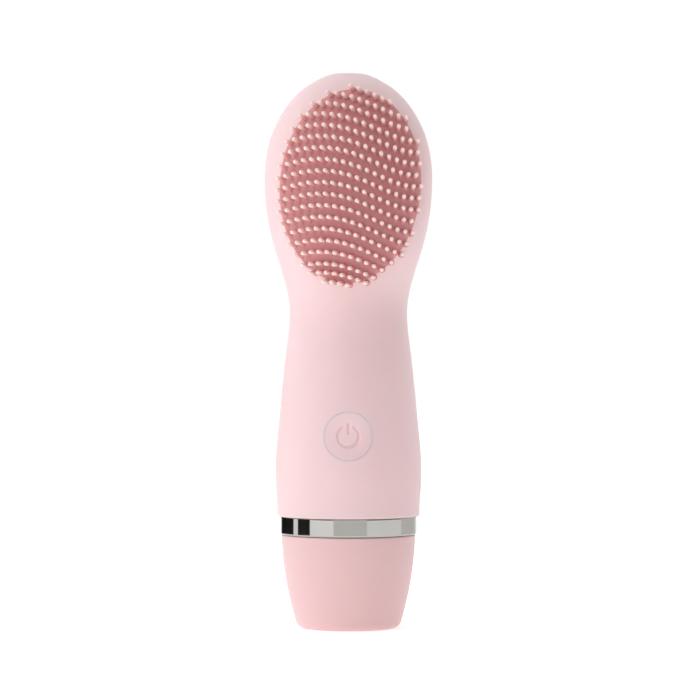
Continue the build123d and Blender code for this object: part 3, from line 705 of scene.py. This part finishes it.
class BRUSH_OT_button(bpy.types.Operator):
    """Build the push button with its finger dimple and engraved power sign"""

    bl_idname = "brush.button"
    bl_label = "Button"

    def execute(self, context):
        sizes = context.scene.brush_button
        centre = button_centre()
        surface = front_fit(centre, sizes.radius * 1.04, sizes.radius * 1.4)
        rings = list(np.linspace(0.12 * MM, sizes.radius - 1.2 * sizes.edge, sizes.rings))
        segments = 216
        points = []
        for radius in rings:
            for step in range(segments):
                turn = 2 * math.pi * step / segments
                x, z = radius * math.cos(turn), radius * math.sin(turn)
                y = surface(x, z) + dimple(radius, sizes) + power_sign(x, z, sizes)
                points.append((x, y, centre.z + z))
        rim = [(sizes.edge * math.cos(turn), sizes.edge * (1 - math.sin(turn))) for turn in np.radians((70, 45, 20, 0))]
        for out, down in [(out - sizes.edge, down) for out, down in rim] + [(0, 1.5 * MM)]:
            radius = sizes.radius + out
            for step in range(segments):
                turn = 2 * math.pi * step / segments
                x, z = radius * math.cos(turn), radius * math.sin(turn)
                points.append((x, surface(x, z) + down, centre.z + z))
        faces = rings_to_faces(len(points) // segments, segments)
        points.append((0, surface(0, 0) + dimple(0, sizes) + power_sign(0, 0, sizes), centre.z))
        faces += [(step, (step + 1) % segments, len(points) - 1) for step in range(segments)]
        low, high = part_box("power_button")
        points.append((0, high.y, centre.z))
        last = len(points) - 2 - segments
        faces += [(last + step, last + (step + 1) % segments, len(points) - 1) for step in range(segments)]
        piece("push_button", points, faces, "button", "skin_silicone", ["power_button"])
        return {"FINISHED"}


def dimple(radius, sizes):
    """Depth of the finger dimple at a radius."""
    share = min(1.0, radius / sizes.radius)
    return sizes.dimple * (1 - share * share) ** 1.6


def power_sign(x, z, sizes):
    """Depth of the power sign's soft-edged groove at a point."""
    radius, turn = math.hypot(x, z), abs(math.atan2(x, z))
    if turn > sizes.sign_gap:
        ring = abs(radius - sizes.sign_radius)
    else:
        end = Vector((math.sin(sizes.sign_gap), math.cos(sizes.sign_gap))) * sizes.sign_radius
        ring = (Vector((abs(x), z)) - end).length
    foot, head = 0.33 * sizes.sign_radius, 1.16 * sizes.sign_radius
    stem = math.hypot(x, z - min(max(z, foot), head))
    away = min(ring, stem) - sizes.sign_line / 2
    share = min(max(0.5 - away / sizes.sign_soft, 0), 1)
    return sizes.sign_depth * share * share * (3 - 2 * share)


class BRUSH_OT_pad(bpy.types.Operator):
    """Build the bristle pad with a rounded edge that falls into the sleeve"""

    bl_idname = "brush.pad"
    bl_label = "Bristle pad"

    def execute(self, context):
        sizes = context.scene.brush_pad
        pad = CadSurface("bristle_pad")
        low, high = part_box("bristle_pad")
        centre = (low + high) / 2
        lean = Matrix.Rotation(-sizes.tilt, 2)

        def at(share, turn):
            place = lean @ Vector((sizes.width / 2 * math.cos(turn), sizes.length / 2 * math.sin(turn))) * share
            return pad.front(centre.x + place.x, centre.z + place.y)

        segments, shares = 180, [*np.linspace(0.04, 0.92, 24), 0.95]
        turns = [2 * math.pi * step / segments for step in range(segments)]
        points = [at(share, turn) for share in shares for turn in turns]
        arcs = []
        for turn in turns:
            edge, inner = at(0.998, turn), at(0.96, turn)
            along = Vector((math.cos(turn), 0, math.sin(turn)))
            side = (at(0.998, turn + 0.02) - at(0.998, turn - 0.02)).normalized()
            out = (edge - inner).normalized()
            normal = out.cross(side)
            normal *= -1 if normal.dot(along) < 0 and normal.y > 0 or normal.y > 0 else 1
            middle = edge - (out + normal) * sizes.rim
            arc = [middle + (normal * math.cos(a) + out * math.sin(a)) * sizes.rim for a in np.radians(range(0, 91, 15))]
            arcs.append([*arc, arc[-1] - normal * sizes.sunk])
        for ring in range(len(arcs[0])):
            points += [arc[ring] for arc in arcs]
        faces = rings_to_faces(len(points) // segments, segments)
        points.append(at(0, 0))
        faces += [(step, (step + 1) % segments, len(points) - 1) for step in range(segments)]
        piece("pad", points, faces, "handle", "pad_silicone", ["bristle_pad"])
        return {"FINISHED"}


def islands(mesh):
    """The separate solids of a mesh, each as an array of its corners."""
    work = bmesh.new()
    work.from_mesh(mesh)
    bmesh.ops.remove_doubles(work, verts=work.verts, dist=1e-6)
    seen, found = set(), []
    for start in work.verts:
        if start in seen:
            continue
        group, waiting = [], [start]
        seen.add(start)
        while waiting:
            vertex = waiting.pop()
            group.append(tuple(vertex.co))
            for edge in vertex.link_edges:
                other = edge.other_vert(vertex)
                if other not in seen:
                    seen.add(other)
                    waiting.append(other)
        found.append(np.array(group))
    work.free()
    return found


class BRUSH_OT_bristles(bpy.types.Operator):
    """Build every bristle on its CAD axis with a flared foot and a rounded tip"""

    bl_idname = "brush.bristles"
    bl_label = "Bristles"

    def execute(self, context):
        sizes = context.scene.brush_pad
        pad = CadSurface("bristle_pad")
        sides = sizes.bristle_sides
        points, faces, rises = [], [], []
        for corners in islands(frame["nodes"]["bristles"].data):
            middle = corners.mean(0)
            axis = np.linalg.svd(corners - middle, full_matrices=False)[2][0]
            axis *= -1 if axis[1] > 0 else 1
            spread = (corners - middle) @ axis
            axis, middle = Vector(axis), Vector(middle)
            tip = middle + axis * float(spread.max())
            foot = pad.tree.ray_cast(tip + axis * MM, -axis)[0] or middle + axis * float(spread.min() + 0.5 * MM)
            long = (tip - foot).length
            side = axis.orthogonal().normalized()
            up = axis.cross(side)
            start = len(points)
            profile = bristle_profile(long, sizes)
            for radius, along, rise in profile:
                for step in range(sides):
                    turn = 2 * math.pi * step / sides
                    points.append(foot + axis * along + (side * math.cos(turn) + up * math.sin(turn)) * radius)
                    rises.append(rise)
            faces += [tuple(start + index for index in face) for face in rings_to_faces(len(profile), sides)]
            faces.append(tuple(start + step for step in range(sides)))
            points.append(tip)
            rises.append(1.0)
            last = start + (len(profile) - 1) * sides
            faces += [(last + step, last + (step + 1) % sides, len(points) - 1) for step in range(sides)]
        obj = piece("bristle_field", points, faces, "handle", "bristle_silicone", ["bristles"])
        rise = obj.data.attributes.new("rise", "FLOAT", "POINT")
        rise.data.foreach_set("value", rises)
        return {"FINISHED"}


def bristle_profile(long, sizes):
    """(radius, distance from the foot, share of the rise) of a bristle's rings, foot first."""
    foot, tip = sizes.bristle_width / 2, sizes.tip_width / 2
    flare = sizes.bristle_foot
    profile = [(foot + flare, -0.25 * MM, 0.0)]
    for turn in np.radians((10, 30, 50, 70, 90)):
        along = flare * math.sin(turn)
        profile.append((foot + flare * (1 - math.cos(math.pi / 2 - turn)), flare * (1 - math.cos(turn)), along / long))
    shoulder = long - tip
    for share in (0.35, 0.6, 0.8):
        along = flare + share * (shoulder - flare)
        profile.append((foot + (tip - foot) * share, along, along / long))
    for turn in np.radians((0, 18, 36, 54, 72, 84)):
        profile.append((tip * math.cos(turn), shoulder + tip * math.sin(turn), (shoulder + tip * math.sin(turn)) / long))
    return profile


class BRUSH_OT_trim_ring(bpy.types.Operator):
    """Turn the chrome ring between the sleeve and the cap"""

    bl_idname = "brush.trim_ring"
    bl_label = "Trim ring"

    def execute(self, context):
        sizes = context.scene.brush_base
        low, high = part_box("trim_ring")
        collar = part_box("battery_holder")
        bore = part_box("cap_core")[1].x + 2 * sizes.gap
        wall = high.x - sizes.ring_wall
        web = high.z - sizes.ring_web
        corners = [
            (high.x, low.z, sizes.ring_edge),
            (high.x, high.z, sizes.ring_edge),
            (sizes.ring_bore, high.z, 0),
            (sizes.ring_bore, web, 0.1 * MM),
            (wall, web, 0),
            (wall, low.z, 0.15 * MM),
        ]
        lathe("ring", rounded(corners), 256, "handle", "trim_chrome", ["trim_ring"])
        return {"FINISHED"}


class BRUSH_OT_cap(bpy.types.Operator):
    """Turn the cap's soft shell around its hard core"""

    bl_idname = "brush.cap"
    bl_label = "Cap"

    def execute(self, context):
        sizes = context.scene.brush_base
        low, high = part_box("base_cap")
        shell = CadSurface("base_cap")
        heights = np.linspace(sizes.cap_edge * 1.3, high.z - 2.2 * sizes.cap_lip, 16)
        side = [(shell.around(0.1, height).xy.length, height) for height in heights]
        base = (side[0][0] - (side[1][0] - side[0][0]) / (heights[1] - heights[0]) * heights[0], low.z, sizes.cap_edge)
        inner = [(radius - sizes.cap_wall, max(height, sizes.cap_wall)) for radius, height in side]
        top = side[-1][0] + (side[-1][0] - side[-2][0]) / (heights[1] - heights[0]) * (high.z - heights[-1])
        corner = (top, high.z, sizes.cap_lip)
        lip = (top - sizes.cap_wall, high.z, 0.15 * MM)
        outline = rounded([(0, 0, 0), base, side[0] + (0,)])[1:-1]
        outline = [(0, 0), (0.5 * base[0], 0)] + [tuple(point) for point in outline] + side
        outline += [tuple(point) for point in rounded([side[-1] + (0,), corner, lip, inner[-1] + (0,)])[1:-1]]
        outline += inner[:0:-1] + [(inner[0][0], sizes.cap_wall), (0, sizes.cap_wall)]
        lathe("cap", outline, 224, "cap", "skin_silicone", ["base_cap"])
        return {"FINISHED"}


class BRUSH_OT_stage(bpy.types.Operator):
    """Set out the floor, the lights, the reflection strips and the camera"""

    bl_idname = "brush.stage"
    bl_label = "Stage"

    def execute(self, context):
        sizes = context.scene.brush_stage
        scene = context.scene
        scene.view_settings.view_transform = "Standard"
        floor_finish = Finish("floor_paper", Roughness=0.9, Emission_Strength=sizes.floor_glow)
        floor_finish.set("Emission Color", (1, 1, 1))
        tone = floor_finish.noise(30, 3)
        floor_finish.set("Base Color", floor_finish.blend(tone, (0.93, 0.93, 0.93), (0.95, 0.95, 0.95)))
        floor = sheet("floor", (0, 0, -sizes.floor_gap), (6, 6), Vector((0, 0, 1)), floor_finish.material)
        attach(floor, "cap")
        dark = Finish("strip_black", Roughness=1.0)
        dark.set("Base Color", (0.004, 0.004, 0.004))
        grey = Finish("strip_grey", Roughness=1.0)
        grey.set("Base Color", (0.8, 0.8, 0.79))
        strips = ((103, 150, dark), (66, 92, dark), (-30, 24, grey), (-150, -97, grey))
        for number, (first, last, finish) in enumerate(strips):
            strip = arc_strip(f"strip_{number}", first, last, 0.3, 0.12, finish.material)
            strip.visible_camera = False
            strip.visible_diffuse = False
            strip.visible_shadow = False
        area_light("key_light", (-0.55, -0.75, 0.75), sizes.key, 0.55)
        area_light("side_light", (-0.9, 0.1, 0.35), sizes.side, 0.5)
        sky(scene, sizes)
        camera = bpy.data.cameras.new("camera")
        camera.sensor_width = 36
        camera.lens = camera.sensor_width * sizes.distance / sizes.shown
        camera.clip_start = 0.01
        eye = bpy.data.objects.new("camera", camera)
        eye.location = (sizes.aside, -sizes.distance, sizes.height)
        eye.rotation_euler = (math.pi / 2, 0, 0)
        scene.collection.objects.link(eye)
        scene.camera = eye
        return {"FINISHED"}


def sheet(name, middle, size, normal, material):
    """A flat rectangle of the stage."""
    turn = normal.to_track_quat("Z", "Y").to_matrix()
    corners = [(-0.5, -0.5), (0.5, -0.5), (0.5, 0.5), (-0.5, 0.5)]
    points = [Vector(middle) + turn @ Vector((x * size[0], y * size[1], 0)) for x, y in corners]
    return stage_mesh(name, points, [(0, 1, 2, 3)], material)


def arc_strip(name, first, last, radius, height, material):
    """A standing strip on an arc; its angles are counted from the front towards the left."""
    points = []
    for turn in np.radians(np.linspace(first, last, 12)):
        for level in (0, height):
            points.append((-radius * math.sin(turn), -radius * math.cos(turn), level))
    faces = [(i, i + 2, i + 3, i + 1) for i in range(0, len(points) - 2, 2)]
    return stage_mesh(name, points, faces, material)


def stage_mesh(name, points, faces, material):
    mesh = bpy.data.meshes.new(name)
    mesh.from_pydata([tuple(point) for point in points], [], faces)
    mesh.materials.append(material)
    obj = bpy.data.objects.new(name, mesh)
    bpy.context.scene.collection.objects.link(obj)
    return obj


def area_light(name, place, power, size):
    lamp = bpy.data.lights.new(name, "AREA")
    lamp.energy = power
    lamp.size = size
    obj = bpy.data.objects.new(name, lamp)
    obj.location = place
    aim = Vector((0, 0, 0.07)) - obj.location
    obj.rotation_euler = aim.to_track_quat("-Z", "Y").to_euler()
    bpy.context.scene.collection.objects.link(obj)
    return obj


def sky(scene, sizes):
    """A pale surround that is brighter behind and to the left than at the right of the front."""
    world = bpy.data.worlds.new("surround")
    scene.world = world
    world.use_nodes = True
    tree = world.node_tree
    tree.nodes.clear()
    background = tree.nodes.new("ShaderNodeBackground")
    output = tree.nodes.new("ShaderNodeOutputWorld")
    tree.links.new(background.outputs[0], output.inputs[0])
    place = tree.nodes.new("ShaderNodeTexCoord")
    dot = tree.nodes.new("ShaderNodeVectorMath")
    dot.operation = "DOT_PRODUCT"
    dot.inputs[1].default_value = Vector(sizes.bright_side).normalized()
    tree.links.new(place.outputs["Generated"], dot.inputs[0])
    share = tree.nodes.new("ShaderNodeMapRange")
    share.interpolation_type = "SMOOTHSTEP"
    share.inputs["From Min"].default_value = -0.6
    share.inputs["From Max"].default_value = 0.5
    tree.links.new(dot.outputs["Value"], share.inputs["Value"])
    tone = tree.nodes.new("ShaderNodeMix")
    tone.data_type = "RGBA"
    tone.inputs["A"].default_value = (*[sizes.dim * part for part in sizes.dim_tint], 1)
    tone.inputs["B"].default_value = (1.02, 1.02, 1.02, 1)
    tree.links.new(share.outputs[0], tone.inputs["Factor"])
    tree.links.new(tone.outputs["Result"], background.inputs["Color"])


class BRUSH_PT_panel(bpy.types.Panel):
    """Sizes, colours and pieces of the brush"""

    bl_label = "Facial Cleansing Brush"
    bl_idname = "BRUSH_PT_panel"
    bl_space_type = "VIEW_3D"
    bl_region_type = "UI"
    bl_category = "Brush"

    def draw(self, context):
        for name in GROUPS:
            box = self.layout.box()
            group = getattr(context.scene, name)
            for setting in type(group).__annotations__:
                box.prop(group, setting)
        for operator in STEPS:
            self.layout.operator(operator.bl_idname)


GROUPS = {
    "brush_colours": FinishColours,
    "brush_sleeve": SleeveSizes,
    "brush_button": ButtonSizes,
    "brush_pad": PadSizes,
    "brush_base": BaseSizes,
    "brush_stage": StageSettings,
}
STEPS = (
    BRUSH_OT_finishes,
    BRUSH_OT_sleeve,
    BRUSH_OT_button,
    BRUSH_OT_pad,
    BRUSH_OT_bristles,
    BRUSH_OT_trim_ring,
    BRUSH_OT_cap,
    BRUSH_OT_stage,
)
CLASSES = (*GROUPS.values(), *STEPS, BRUSH_PT_panel)


def register():
    for cls in CLASSES:
        bpy.utils.register_class(cls)
    for name, group in GROUPS.items():
        setattr(bpy.types.Scene, name, PointerProperty(type=group))


def unregister():
    for name in GROUPS:
        delattr(bpy.types.Scene, name)
    for cls in reversed(CLASSES):
        bpy.utils.unregister_class(cls)


def main():
    register()
    for step in STEPS:
        family, name = step.bl_idname.split(".")
        getattr(getattr(bpy.ops, family), name)()


if __name__ == "__main__":
    main()
